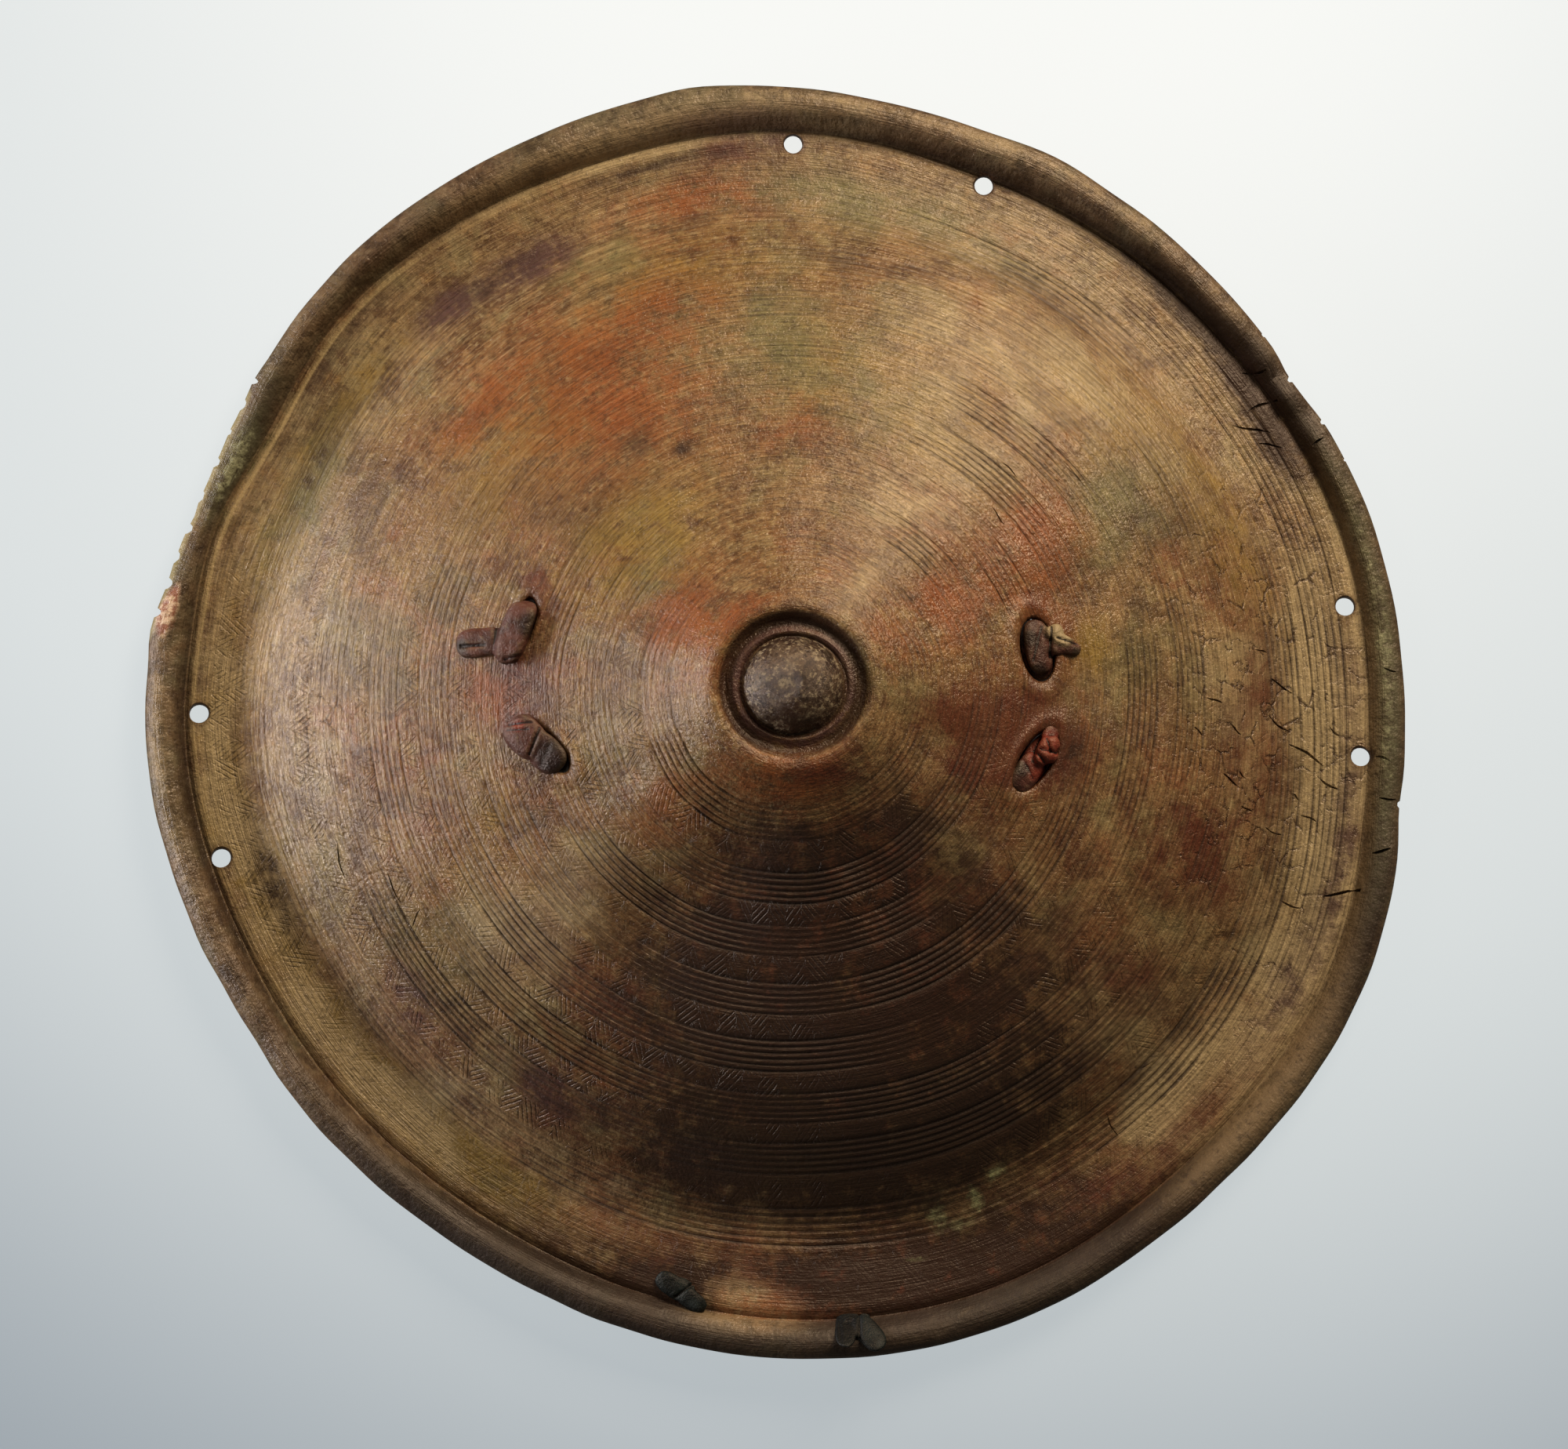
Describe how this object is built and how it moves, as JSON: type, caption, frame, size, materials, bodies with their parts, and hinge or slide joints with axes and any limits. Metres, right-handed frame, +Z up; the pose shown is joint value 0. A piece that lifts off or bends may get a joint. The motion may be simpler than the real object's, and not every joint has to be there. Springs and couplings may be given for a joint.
{
  "type": "round hide buckler shield",
  "caption": "Round shield of thick moulded hide with a domed boss, a grooved cone, a rolled lip and a hide grip inside.",
  "frame": {"origin": "middle of the bounding box, on the surface the shield lies on", "axes": "+Z up through the boss, with the shield lying on its rim; +Y towards the edge opposite the dark thong; +X across the two pairs of grip slots"},
  "size_m": [0.4479, 0.455, 0.1062],
  "materials": {
    "moulded_hide": "aged brown rawhide, tooled, waxed by handling",
    "grip_hide": "dark red-brown rawhide strap, worn smooth",
    "dark_thong": "blackened thong, slightly shiny"
  },
  "bodies": {
    "root": {"hide_shell": "moulded_hide", "grip_strap": "grip_hide", "rim_thong": "dark_thong"}
  },
  "joints": []
}
